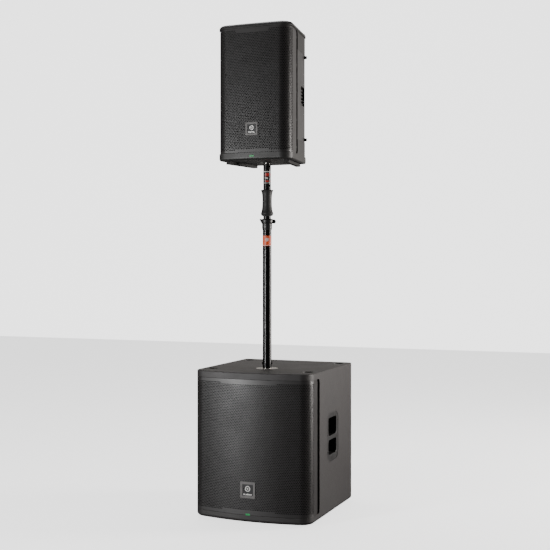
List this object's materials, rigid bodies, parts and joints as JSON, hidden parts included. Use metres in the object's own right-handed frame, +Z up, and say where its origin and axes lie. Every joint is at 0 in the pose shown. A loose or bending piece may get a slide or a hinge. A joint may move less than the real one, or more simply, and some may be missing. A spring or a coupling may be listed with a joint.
{
  "type": "pa speaker",
  "caption": "Powered PA column: subwoofer on feet with a telescopic pole screwed into its top and a full-range speaker box on the pole.",
  "frame": {"origin": "on the floor, under the middle of the subwoofer's plan", "axes": "+Z up along the pole, front of both boxes towards -Y, +X to the right seen from the front"},
  "size_m": [0.554, 0.632, 2.194],
  "materials": {
    "textured_cabinet_paint": "textured black-brown cabinet paint on plywood",
    "birch_plywood": "black painted plywood",
    "moulded_polypropylene": "moulded, fine grain",
    "handle_polymer": "moulded, fine grain",
    "grille_steel": "powder coated perforated steel",
    "acoustic_foam": "open cell foam",
    "badge_grey": "satin grey",
    "status_green": "clear moulded lens",
    "zinc_plate": "bright zinc plated",
    "black_screws": "black oxide",
    "foot_rubber": "moulded rubber",
    "driver_basket": "die cast, black",
    "driver_magnet": "plated",
    "coated_paper": "treated paper",
    "surround_rubber": "rubber impregnated cloth",
    "panel_aluminium": "black powder coat",
    "circuit_board": "solder mask",
    "display_glass": "glossy window",
    "socket_plastic": "moulded nylon",
    "gloss_black_tube": "gloss powder coat",
    "pole_nylon": "glass filled nylon",
    "grip_foam_rubber": "soft grip",
    "chrome_steel": "chrome plated"
  },
  "bodies": {
    "base": {"pole_base_bolt": "zinc_plate", "pole_collar": "pole_nylon", "pole_foot_plug": "zinc_plate", "pole_guide_bush": "pole_nylon", "pole_lower_tube": "gloss_black_tube", "sub_amp_display": "display_glass", "sub_amp_module": "circuit_board", "sub_amp_panel": "panel_aluminium", "sub_badge": "badge_grey", "sub_baffle": "birch_plywood", "sub_cabinet": "textured_cabinet_paint", "sub_feet": "foot_rubber", "sub_grille": "grille_steel", "sub_grille_foam": "acoustic_foam", "sub_handles": "handle_polymer", "sub_mains_inlet": "socket_plastic", "sub_pole_plate": "zinc_plate", "sub_pole_plate_screws": "zinc_plate", "sub_port_tubes": "moulded_polypropylene", "sub_screws": "black_screws", "sub_signal_jacks": "socket_plastic", "sub_stack_cups": "foot_rubber", "sub_status_lens": "status_green", "sub_woofer_frame": "driver_basket", "sub_woofer_magnet": "driver_magnet", "sub_woofer_suspension": "surround_rubber"},
    "mast": {"pole_upper_tube": "gloss_black_tube", "pole_tail_bush": "pole_nylon", "pole_grip": "grip_foam_rubber", "pole_top_sleeve": "chrome_steel"},
    "top_box": {"sat_amp_display": "display_glass", "sat_amp_module": "circuit_board", "sat_amp_panel": "panel_aluminium", "sat_badge": "badge_grey", "sat_baffle": "birch_plywood", "sat_bottom_cap": "moulded_polypropylene", "sat_compression_driver": "driver_magnet", "sat_grille": "grille_steel", "sat_grille_foam": "acoustic_foam", "sat_grips": "handle_polymer", "sat_hanging_inserts": "chrome_steel", "sat_horn": "moulded_polypropylene", "sat_mains_inlet": "socket_plastic", "sat_pole_cup": "chrome_steel", "sat_rubber_feet": "foot_rubber", "sat_screws": "black_screws", "sat_shell": "moulded_polypropylene", "sat_signal_jacks": "socket_plastic", "sat_status_lens": "status_green", "sat_top_cap": "moulded_polypropylene", "sat_woofer_frame": "driver_basket", "sat_woofer_magnet": "driver_magnet", "sat_woofer_suspension": "surround_rubber"},
    "lock_ring": {"pole_lock_ring": "pole_nylon"},
    "sub_level_knob": {"sub_level_knob": "socket_plastic"},
    "sub_power_switch": {"sub_power_switch": "socket_plastic"},
    "sub_woofer_cone": {"sub_woofer_cone": "coated_paper"},
    "top_box_level_knob": {"sat_level_knob": "socket_plastic"},
    "top_box_power_switch": {"sat_power_switch": "socket_plastic"},
    "top_box_woofer_cone": {"sat_woofer_cone": "coated_paper"}
  },
  "joints": [
    {"name": "mast_slide", "type": "slide", "parent": "base", "child": "mast", "axis": [0, 0, 1], "range_m": [0, 0.4]},
    {"name": "top_box_swivel", "type": "hinge", "parent": "mast", "child": "top_box", "pos_m": [0, -0.09, 1.672], "axis": [0, 0, 1], "continuous": true},
    {"name": "lock_ring_turn", "type": "hinge", "parent": "base", "child": "lock_ring", "pos_m": [0, -0.09, 1.327], "axis": [0, 0, 1], "range_deg": [0, 60]},
    {"name": "sub_level_turn", "type": "hinge", "parent": "base", "child": "sub_level_knob", "pos_m": [0.123, 0.2795, 0.247], "axis": [0, 1, 0], "range_deg": [-150, 150]},
    {"name": "sub_power_rock", "type": "hinge", "parent": "base", "child": "sub_power_switch", "pos_m": [-0.123, 0.277, 0.247], "axis": [1, 0, 0], "range_deg": [-14, 0]},
    {"name": "sub_cone_travel", "type": "slide", "parent": "base", "child": "sub_woofer_cone", "axis": [0, 1, 0], "range_m": [-0.008, 0.008], "stiffness_N_per_m": 6000, "deforming": ["sub_woofer_suspension"]},
    {"name": "top_box_level_turn", "type": "hinge", "parent": "top_box", "child": "top_box_level_knob", "pos_m": [0.057, 0.03, 1.836], "axis": [0, 1, 0], "range_deg": [-150, 150]},
    {"name": "top_box_power_rock", "type": "hinge", "parent": "top_box", "child": "top_box_power_switch", "pos_m": [-0.057, 0.0275, 1.836], "axis": [1, 0, 0], "range_deg": [-14, 0]},
    {"name": "top_box_cone_travel", "type": "slide", "parent": "top_box", "child": "top_box_woofer_cone", "axis": [0, 1, 0], "range_m": [-0.005, 0.005], "stiffness_N_per_m": 4000, "deforming": ["sat_woofer_suspension"]}
  ]
}
